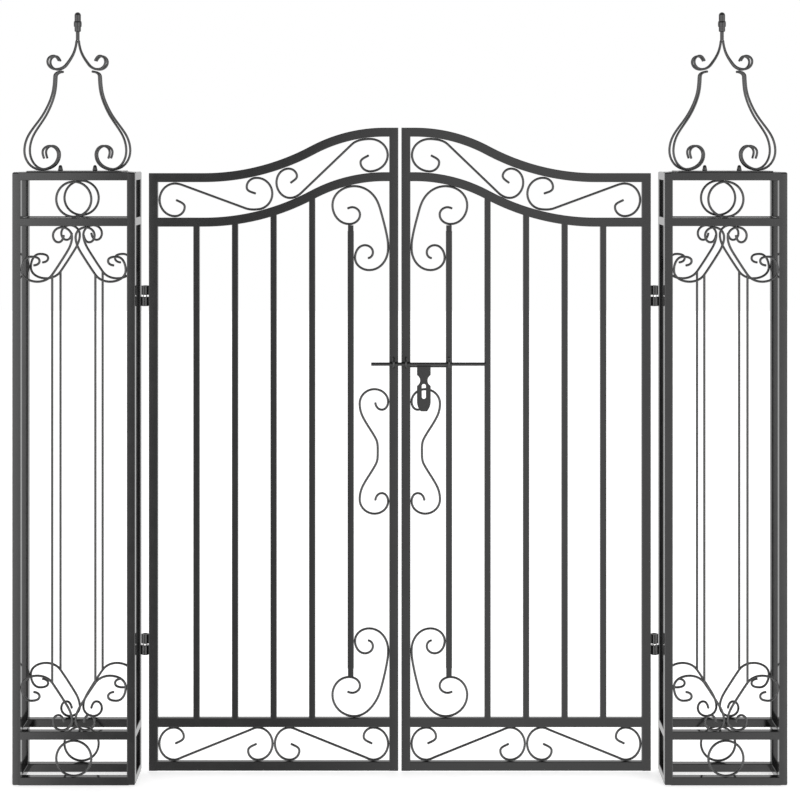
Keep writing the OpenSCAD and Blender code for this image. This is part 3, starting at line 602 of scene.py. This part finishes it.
# ---- Upright bars -----------------------------------------------------------
# Four long bars and a short one of square tube fill a leaf. The long bars stand on the
# kick rail under the neck rail; the short bar stands between the two corner scrolls.

bar_count = 5
bar_corner = 0.0008
plug_step = 0.001
upper_plug, lower_plug = 0.009, 0.013
upper_curl, lower_curl = 0.067, 0.063
bars_lo, bars_hi = (np.array(corner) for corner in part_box("left_leaf_bars"))
bar_side = bars_hi[1] - bars_lo[1]
bar_pitch = (run_hi - run_lo) / (bar_count + 1)
kick_top = kick_hi[2]
corner_top = neck_hi[2] - frame_face
bar_outline = rounded_rectangle(bar_side, bar_side, bar_corner)
# The part of a bar that is welded into the neck rail, a hair below the rail's face
tenon_outline = rounded_rectangle(bar_side - weld_sunk, bar_side - weld_sunk, bar_corner)
plug_outline = rounded_rectangle(bar_side - plug_step, bar_side - plug_step, bar_corner)
neck_line = swan_line(neck_lo[2] + frame_face / 2)[:, [0, 2]]
neck_way = np.gradient(neck_line, axis=0)
neck_way /= np.linalg.norm(neck_way, axis=1)[:, None]
neck_under = neck_line + (frame_face / 2 - frame_corner) * neck_way[:, ::-1] * [1, -1]
bar_shells = []
for x in run_hi - bar_pitch * np.arange(2, bar_count + 1):
    shoulder = np.interp([x - bar_side / 2, x + bar_side / 2], *neck_under.T).min()
    bar_shells += [
        upright_tube(bar_outline, x, kick_top - frame_corner, shoulder, 0),
        upright_tube(tenon_outline, x, shoulder - bar_side, np.interp(x, *neck_line.T), 0)]
short_x = run_hi - bar_pitch
short_z0 = kick_top + lower_curl + 2 * wire_radius
short_z1 = corner_top - upper_curl - 2 * wire_radius
bar_shells += [
    upright_tube(plug_outline, short_x, short_z0, short_z1),
    upright_tube(bar_outline, short_x, short_z0 + lower_plug, short_z1 - upper_plug)]
bars = joined(bar_shells)
for side, shell in (("left", bars), ("right", mirrored(bars))):
    piece = painted(side + "_upright_bars", shell, leaf_paint)
    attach(piece, side + "_leaf")
    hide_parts(side + "_leaf_bars")

# ---- Frieze scrolls ---------------------------------------------------------
# Two S-scrolls of wire lie end to end in the frieze at a leaf's foot, and two lean with
# the rails in the one at its head. Each is two curls with a straight between them.

curl_play = 0.0008
# A curl's outer reach and the place where it turns straight, as shares of its height
plain_curl = (0.46, 0.28, -0.41)
neck_curls = (
    (0.47, 0.24, -0.45), (0.49, 0.42, -0.42), (0.44, 0.34, -0.39), (0.55, 0.54, -0.36))


def curl_at(x, z, high, tilt, way, shape=plain_curl):
    """Knots of a curl of that height round (x, z), from its inner end to its straight,
    turned by tilt; way -1 turns it upside down."""
    reach, end_x, end_z = shape
    curl = np.array([[0.03, 0, 30], [0.3, 0.22, 90], [0, 0.5, 180], [-reach, 0, 270],
                     [0, -0.5, 0], [end_x, end_z, 25]])
    lean = np.radians(tilt)
    across, up = high * curl[:, 0], way * high * curl[:, 1]
    return np.stack([x + across * np.cos(lean) - up * np.sin(lean),
                     z + across * np.sin(lean) + up * np.cos(lean),
                     way * curl[:, 2] + tilt], axis=-1)


def s_scroll(first, second):
    """Path of two curls whose straight ends point at each other."""
    heading = np.degrees(np.arctan2(*(second[-1, :2] - first[-1, :2])[::-1]))
    first, second = first.copy(), second.copy()
    first[-1, 2] = heading
    second[-1, 2] = heading + 180
    return bent(np.concatenate([first, second[::-1] + [0, 0, 180]]))


def swan_slope(x):
    """Slope of the swan neck at x, in degrees."""
    v, u = x - swan_x0, swan_x1 - x
    if v <= 0 or u <= 0:
        return 0.0
    hollow = v < hollow_radius * np.sin(swan_turn)
    return np.degrees(np.arcsin(v / hollow_radius if hollow else u / round_radius))


def neck_curl(x, turn, way, shape):
    """A curl midway between the two swan-necked rails at x, leaning half as much."""
    tilt = swan_slope(x)
    drop = top_lo[2] - neck_lo[2]
    high = drop * np.cos(np.radians(tilt)) - frame_face - 2 * wire_radius - curl_play
    z = np.interp(x, *neck_line.T) + drop / 2
    return curl_at(x, z, high, tilt / 2 + turn, way, shape)


frieze_mid = (run_lo + run_hi) / 2
kick_high = kick_hi[2] - kick_lo[2] - 2 * frame_face - 2 * wire_radius
kick_mid = (kick_lo[2] + kick_hi[2]) / 2
reach = plain_curl[0] * kick_high + wire_radius
frieze_paths = [
    s_scroll(curl_at(run_lo + reach, kick_mid, kick_high, 0, 1),
             curl_at(frieze_mid - reach, kick_mid, kick_high, 180, 1)),
    s_scroll(curl_at(frieze_mid + reach, kick_mid, kick_high, 0, -1),
             curl_at(run_hi - reach, kick_mid, kick_high, 180, -1))]
reach = (np.array(neck_curls)[:, 0] * (top_lo[2] - neck_lo[2] - frame_face - 2 * wire_radius)
         + wire_radius)
frieze_paths += [
    s_scroll(neck_curl(run_lo + reach[0], 0, -1, neck_curls[0]),
             neck_curl(frieze_mid + wire_radius / 2 - reach[1], 180, -1, neck_curls[1])),
    s_scroll(neck_curl(frieze_mid + reach[2], 0, 1, neck_curls[2]),
             neck_curl(run_hi - reach[3], 180, 1, neck_curls[3]))]
frieze_scrolls = joined([wire_shell(path, [0, leaf_mid_y, 0]) for path in frieze_paths])
for side, shell in (("left", frieze_scrolls), ("right", mirrored(frieze_scrolls))):
    piece = painted(side + "_frieze_wires", shell, wire_paint_painted_sheen)
    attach(piece, side + "_leaf")
    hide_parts(side + "_leaf_frieze_scrolls")

# ---- Corner scrolls ---------------------------------------------------------
# A scroll of wire fills each corner beside the meeting stile: its large curl closes
# over the end of the short bar, and its small curl lies along the stile.

corner_scroll_high = 0.143


def corner_path(c, rise):
    """Path out from the stile and down from z = 0, with its large curl c high."""
    p, h = bar_pitch, corner_scroll_high
    return bent([
        [-1.09 * p, -0.64 * c, 25], [-0.93 * p, -0.61 * c, -10], [-0.76 * p, -0.78 * c, 270],
        [-1.04 * p, -c, 180], [-1.475 * p, -0.56 * c, 90], [-0.91 * p, -rise, 0],
        [-0.34 * p, -0.42 * c, -60], [-0.21 * p, -0.73 * c, -75], [-0.045 * p, -0.655 * h, -81],
        [-wire_radius, -0.76 * h, 270], [-0.52 * p, -h, 180],
        [bar_side / 2 + wire_radius - p, -0.86 * h, 90],
        [-0.63 * p, -0.72 * h, 0], [-0.425 * p, -0.8 * h, 270], [-0.56 * p, -0.865 * h, 180]])


curl_x = run_hi - 0.91 * bar_pitch
lean = np.radians(swan_slope(curl_x - 0.1 * bar_pitch))
under_neck = np.interp(curl_x, *neck_line.T) - frame_face / 2 / np.cos(lean)
upper_rise = (corner_top - under_neck + 0.56 * bar_pitch * (1 / np.cos(lean) - 1)
              + wire_radius / np.cos(lean))
corner_scrolls = joined([
    wire_shell(corner_path(upper_curl + wire_radius, upper_rise),
               [run_hi, leaf_mid_y, corner_top]),
    wire_shell(upside_down(corner_path(lower_curl + wire_radius, wire_radius)),
               [run_hi, leaf_mid_y, kick_top])])
for side, shell in (("left", corner_scrolls), ("right", mirrored(corner_scrolls))):
    piece = painted(side + "_corner_wires", shell, wire_paint_painted_sheen)
    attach(piece, side + "_leaf")
    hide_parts(side + "_leaf_corner_scrolls")

# ---- Middle scroll ----------------------------------------------------------
# One symmetrical scroll of wire is welded to the meeting stile at mid height.

middle_lo, middle_hi = (np.array(corner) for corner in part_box("left_leaf_middle_scroll"))
w = middle_hi[0] - middle_lo[0] - wire_radius
h = (middle_hi[2] - middle_lo[2]) / 2 - wire_radius
upper_knots = np.array([
    [-0.47 * w, 0.79 * h, 270], [-0.25 * w, 0.67 * h, 0], [-wire_radius, 0.8 * h, 90],
    [-0.5 * w, h, 180], [-w, 0.77 * h, 270], [-0.9 * w, 0.56 * h, -64],
    [-0.45 * w, 0.2 * h, -63], [-0.39 * w, 0, 270]])
upper_half = bent(upper_knots)
middle_path = np.concatenate([upper_half, upside_down(upper_half)[-2::-1]])
middle_z = (middle_lo[2] + middle_hi[2]) / 2
middle_scroll = wire_shell(middle_path, [run_hi, leaf_mid_y, middle_z])
for side, shell in (("left", middle_scroll), ("right", mirrored(middle_scroll))):
    piece = painted(side + "_middle_wire", shell, wire_paint_painted_sheen)
    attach(piece, side + "_leaf")
    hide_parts(side + "_leaf_middle_scroll")

# ---- Staples ----------------------------------------------------------------
# Bent wire staples guide the bolt: one on each meeting stile and one on the right
# leaf's short bar. Their legs are welded on, and the bow stands round the bolt.

bolt_lo, bolt_hi = (np.array(corner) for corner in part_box("bolt_rod"))
bolt_mid = (bolt_lo + bolt_hi) / 2
bolt_paint = black_paint("bolt_black", 0.009, 0.14, 0.05, 1.6)
staple_paint = black_paint("staple_black", 0.012, 0.18, 0.08, 2.2)
staple_lo, staple_hi = (np.array(corner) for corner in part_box("left_leaf_staple"))
staple_bow = (staple_hi[2] - staple_lo[2]) / 2 - wire_radius
staple_mid_z = (staple_lo[2] + staple_hi[2]) / 2


def staple(x, foot_y):
    """Path of a half round bow about the bolt, with straight legs back to foot_y."""
    a = np.linspace(0, np.pi, 21)
    bow = np.stack([bolt_mid[1] - staple_bow * np.sin(a),
                    staple_mid_z + staple_bow * np.cos(a)], axis=-1)
    line = np.concatenate([
        [[foot_y, bow[0, 1]], [(foot_y + bolt_mid[1]) / 2, bow[0, 1]]], bow,
        [[(foot_y + bolt_mid[1]) / 2, bow[-1, 1]], [foot_y, bow[-1, 1]]]])
    path = np.stack([np.full(len(line), x), line[:, 0], line[:, 1]], axis=-1)
    return carried(wire_outline, path, [1, 0, 0], 0)


stile_front = stile_lo[1]
left_stile_x = (meet_lo[0] + meet_hi[0]) / 2
right_stile_x = 2 * gate_mid_x - left_stile_x
right_short_x = 2 * gate_mid_x - short_x
for name, body, node, shell in (
        ("catch_staple", "left_leaf", "left_leaf_staple", staple(left_stile_x, stile_front)),
        ("guide_staples", "right_leaf", "right_leaf_staples", joined([
            staple(right_stile_x, stile_front), staple(right_short_x, bars_lo[1])]))):
    piece = painted(name, shell, staple_paint)
    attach(piece, body)
    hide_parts(node)

# ---- Bolt rod ---------------------------------------------------------------
# A plain round bar that slides in the staples. Its ends are cut and lightly chamfered.

bolt_radius = (bolt_hi[2] - bolt_lo[2]) / 2
bolt_chamfer = 0.0007
bolt_angles = np.radians(np.arange(0, 360, 15))
bolt_outline = bolt_radius * np.stack([np.cos(bolt_angles), np.sin(bolt_angles)], axis=-1)
bolt = carried(bolt_outline, [[x, bolt_mid[1], bolt_mid[2]] for x in (
    bolt_lo[0], bolt_mid[0], bolt_hi[0])], [0, 1, 0], bolt_chamfer)
piece = painted("sliding_bolt", bolt, bolt_paint)
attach(piece, "bolt")
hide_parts("bolt_rod")

# ---- Hasp -------------------------------------------------------------------
# A slotted plate of 1.2 mm steel, waisted below its eye, hangs from a thin wire that is
# welded between the right meeting stile and the short bar, close under the bolt.

wire_lo, wire_hi = (np.array(corner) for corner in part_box("right_leaf_hasp_wire"))
wire_mid = (wire_lo + wire_hi) / 2
hasp_wire_radius = (wire_hi[2] - wire_lo[2]) / 2
hasp_wire = carried(wire_outline * hasp_wire_radius / wire_radius, [
    [x, wire_mid[1], wire_mid[2]] for x in (wire_lo[0], wire_mid[0], wire_hi[0])], [0, 1, 0], 0)
piece = painted("hasp_carrier", hasp_wire, staple_paint)
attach(piece, "right_leaf")
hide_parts("right_leaf_hasp_wire")

hasp_lo, hasp_hi = (np.array(corner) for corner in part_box("hasp"))
hasp_mid_x = (hasp_lo[0] + hasp_hi[0]) / 2
hasp_half, neck_half, foot_half, slot_half = 0.011, 0.006, 0.005, 0.0033
neck_drop, notch_half, shoulder_drop = 0.0265, 0.0085, 0.06
slot_top, slot_foot = 0.032, 0.056
hasp_thick = 0.0012
eye_play, bore_edge, rim_edge, plate_rub = 0.0003, 0.0002, 0.0003, 0.0002
hasp_drop = bolt_mid[2] - hasp_lo[2]
eye_inner = hasp_wire_radius + eye_play
eye_outer = eye_inner + hasp_thick
notch_in = hasp_half - neck_half
notch_radius = (notch_half ** 2 + notch_in ** 2) / (2 * notch_in)
foot_in = hasp_half - foot_half
foot_radius = ((hasp_drop - shoulder_drop) ** 2 + foot_in ** 2) / (2 * foot_in)


def hasp_sheet(rows=120, columns=6):
    """Half a plate on a grid of drop d and share s: x runs from the slot's edge, the
    half width of a stadium, to the outline, the least of the plate's half width, an arc
    that tapers the foot and what a round notch leaves. Mirrored, for both halves."""
    d = np.unique(np.concatenate([
        np.linspace(bolt_mid[2] - wire_mid[2], hasp_drop, rows),
        slot_top + slot_half * (1 - np.cos(np.linspace(0, np.pi / 2, 8))),
        slot_foot - slot_half * (1 - np.cos(np.linspace(0, np.pi / 2, 8)))]))
    below = np.clip(d - shoulder_drop, 0, None)
    taper = hasp_half - foot_radius + np.sqrt(foot_radius ** 2 - below ** 2)
    notch = neck_half + notch_radius - np.sqrt(
        np.clip(notch_radius ** 2 - (d - neck_drop) ** 2, 0, None))
    outer = np.where(np.abs(d - neck_drop) < notch_half, np.minimum(taper, notch), taper)
    end = np.maximum(np.maximum(slot_top + slot_half - d, d - slot_foot + slot_half), 0)
    inner = np.sqrt(np.clip(slot_half ** 2 - end ** 2, 0, None))
    share = np.linspace(0, 1, columns)
    x = inner[:, None] + (outer - inner)[:, None] * share
    z = np.broadcast_to(bolt_mid[2] - d[:, None], x.shape)
    half = np.stack([x, np.zeros_like(x), z], axis=-1)
    faces = np.arange(x.size).reshape(x.shape)
    quads = np.stack([faces[:-1, :-1], faces[1:, :-1], faces[1:, 1:], faces[:-1, 1:]], axis=-1)
    quads = quads.reshape(-1, 4)
    points = np.concatenate([half.reshape(-1, 3), (half * [-1, 1, 1]).reshape(-1, 3)])
    return points + [hasp_mid_x, hasp_lo[1], 0], np.concatenate([quads, quads[:, ::-1] + x.size])


sheet_points, sheet_faces = hasp_sheet()
sheet_mesh = bpy.data.meshes.new("hasp_plate")
sheet_mesh.from_pydata(sheet_points.tolist(), [], sheet_faces.tolist())
merged = bmesh.new()
merged.from_mesh(sheet_mesh)
bmesh.ops.remove_doubles(merged, verts=merged.verts, dist=1e-6)
merged.to_mesh(sheet_mesh)
merged.free()
sheet_mesh.shade_smooth()
sheet_mesh.materials.append(bolt_paint)
hasp_plate = bpy.data.objects.new("hasp_plate", sheet_mesh)
bpy.context.scene.collection.objects.link(hasp_plate)
walls = hasp_plate.modifiers.new("plate_thickness", "SOLIDIFY")
walls.thickness, walls.offset = hasp_thick, -1
edges = hasp_plate.modifiers.new("rubbed_edges", "BEVEL")
edges.width, edges.segments, edges.limit_method = plate_rub, 2, "ANGLE"
smoothing = hasp_plate.modifiers.new("even_shading", "WEIGHTED_NORMAL")
smoothing.keep_sharp = True
eye_profile = [[eye_inner, -hasp_half + bore_edge], [eye_inner + bore_edge, -hasp_half],
               [eye_outer - rim_edge, -hasp_half], [eye_outer, -hasp_half + rim_edge],
               [eye_outer, hasp_half - rim_edge], [eye_outer - rim_edge, hasp_half],
               [eye_inner + bore_edge, hasp_half], [eye_inner, hasp_half - bore_edge]]
eye_points, eye_faces = bored(eye_profile, [0, 0, 0])
eye = (eye_points[:, [2, 0, 1]] + [hasp_mid_x, wire_mid[1], wire_mid[2]], eye_faces)
hasp_eye = painted("hasp_eye", eye, bolt_paint)
for piece in (hasp_plate, hasp_eye):
    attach(piece, "hasp")
    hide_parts("hasp")

# ---- Studio -----------------------------------------------------------------
# A pale floor in a white studio. The wall behind the gate is white. Towards the camera the
# room is dimmer on the left than on the right, with a light panel on either side.

camera_data = bpy.data.cameras.new("camera")
camera = bpy.data.objects.new("camera", camera_data)
bpy.context.scene.collection.objects.link(camera)
bpy.context.scene.camera = camera
camera_away, camera_high = 2.9, 1.0167
camera.location = (gate_mid_x, gate_lo[1] - camera_away, camera_high)
camera.rotation_euler = (np.pi / 2, 0, 0)
camera_data.lens = 82.88
camera_data.shift_x = 0.0002
camera_data.shift_y = -0.325

floor_half = 8.0
floor_mesh = bpy.data.meshes.new("floor")
floor_mesh.from_pydata([
    [gate_mid_x - floor_half, -floor_half, 0], [gate_mid_x + floor_half, -floor_half, 0],
    [gate_mid_x + floor_half, floor_half, 0], [gate_mid_x - floor_half, floor_half, 0]],
    [], [[0, 1, 2, 3]])
floor = bpy.data.objects.new("floor", floor_mesh)
bpy.context.scene.collection.objects.link(floor)
floor.visible_glossy = False
floor_paint = bpy.data.materials.new("pale_floor")
floor_paint.use_nodes = True
nodes, links = floor_paint.node_tree.nodes, floor_paint.node_tree.links
nodes.remove(nodes["Principled BSDF"])
matt = nodes.new("ShaderNodeBsdfDiffuse")
matt.inputs["Color"].default_value = (0.8, 0.8, 0.8, 1)
lift = nodes.new("ShaderNodeEmission")
rays = nodes.new("ShaderNodeLightPath")
strength = nodes.new("ShaderNodeMath")
strength.operation = "MULTIPLY"
strength.inputs[1].default_value = 0.62
links.new(rays.outputs["Is Camera Ray"], strength.inputs[0])
links.new(strength.outputs[0], lift.inputs["Strength"])
both = nodes.new("ShaderNodeAddShader")
links.new(matt.outputs[0], both.inputs[0])
links.new(lift.outputs[0], both.inputs[1])
links.new(both.outputs[0], nodes["Material Output"].inputs["Surface"])
floor_mesh.materials.append(floor_paint)

world = bpy.data.worlds.new("white_surround")
bpy.context.scene.world = world
world.use_nodes = True
nodes, links = world.node_tree.nodes, world.node_tree.links
surround = nodes["Background"]
surround.inputs["Color"].default_value = (1, 1, 1, 1)
direction = nodes.new("ShaderNodeTexCoord")
parts = nodes.new("ShaderNodeSeparateXYZ")
links.new(direction.outputs["Generated"], parts.inputs[0])
towards_camera = nodes.new("ShaderNodeMath")
towards_camera.operation = "MULTIPLY"
towards_camera.inputs[1].default_value = -1
links.new(parts.outputs["Y"], towards_camera.inputs[0])
bearing = nodes.new("ShaderNodeMath")
bearing.operation = "ARCTAN2"
links.new(parts.outputs["X"], bearing.inputs[0])
links.new(towards_camera.outputs[0], bearing.inputs[1])
# The left panel leans: its near edge stands further left low down
panel_lean = nodes.new("ShaderNodeMapRange")
panel_lean.inputs["From Min"].default_value = -0.12
panel_lean.inputs["From Max"].default_value = -0.08
panel_lean.inputs["To Min"].default_value = -0.1
panel_lean.inputs["To Max"].default_value = 0
links.new(bearing.outputs[0], panel_lean.inputs["Value"])
leaned = nodes.new("ShaderNodeMath")
leaned.operation = "MULTIPLY_ADD"
links.new(parts.outputs["Z"], leaned.inputs[0])
links.new(panel_lean.outputs["Result"], leaned.inputs[1])
links.new(bearing.outputs[0], leaned.inputs[2])
turn = nodes.new("ShaderNodeMapRange")
turn.inputs["From Min"].default_value = -np.pi
turn.inputs["From Max"].default_value = np.pi
links.new(leaned.outputs[0], turn.inputs["Value"])
panels = nodes.new("ShaderNodeValToRGB")
links.new(turn.outputs["Result"], panels.inputs["Fac"])
# Brightness of the surround near eye level by bearing, in degrees right of the camera
bearings = [(-98, 0.5), (-82, 2.0), (-48, 2.9), (-22, 2.9), (-15, 3.8), (-11, 2.25),
            (-9.3, 2.2), (-8.3, 0.63), (-2.6, 0.66), (-0.5, 1.35), (12, 1.45), (16, 4.0),
            (24, 2.9), (48, 2.9), (82, 2.0), (98, 0.5)]
ramp_top = 4
stops = panels.color_ramp.elements
while len(stops) < len(bearings):
    stops.new(0.5)
for stop, (angle, brightness) in zip(stops, bearings):
    stop.position = 0.5 + angle / 360
    stop.color = (brightness / ramp_top, brightness / ramp_top, brightness / ramp_top, 1)
bright = nodes.new("ShaderNodeMath")
bright.operation = "MULTIPLY"
bright.inputs[1].default_value = ramp_top
links.new(panels.outputs["Color"], bright.inputs[0])
# A dim ceiling towards the camera, a lit floor below, and a plain white wall behind
room = bright.outputs[0]
for axis, start, end, brightness in (
        ("Z", 0.12, 0.35, 0.3), ("Z", -0.42, -0.6, 1.8), ("Y", -0.1, 0.15, 1.0)):
    blend = nodes.new("ShaderNodeMapRange")
    blend.inputs["From Min"].default_value = start
    blend.inputs["From Max"].default_value = end
    blend.inputs["To Max"].default_value = brightness
    links.new(parts.outputs[axis], blend.inputs["Value"])
    links.new(room, blend.inputs["To Min"])
    room = blend.outputs["Result"]
rays = nodes.new("ShaderNodeLightPath")
level = nodes.new("ShaderNodeMapRange")
level.inputs["To Max"].default_value = 1
links.new(rays.outputs["Is Camera Ray"], level.inputs["Value"])
links.new(room, level.inputs["To Min"])
links.new(level.outputs["Result"], surround.inputs["Strength"])

lamp_data = bpy.data.lights.new("soft_lamp", "AREA")
lamp_data.size = 2.4
lamp_data.energy = 40
lamp = bpy.data.objects.new("soft_lamp", lamp_data)
bpy.context.scene.collection.objects.link(lamp)
lamp.visible_glossy = False
lamp.location = (gate_mid_x + 2.2, -3.0, 2.6)
lamp.rotation_euler = (np.radians(60), 0, np.radians(38))

bpy.context.scene.view_settings.view_transform = "Standard"
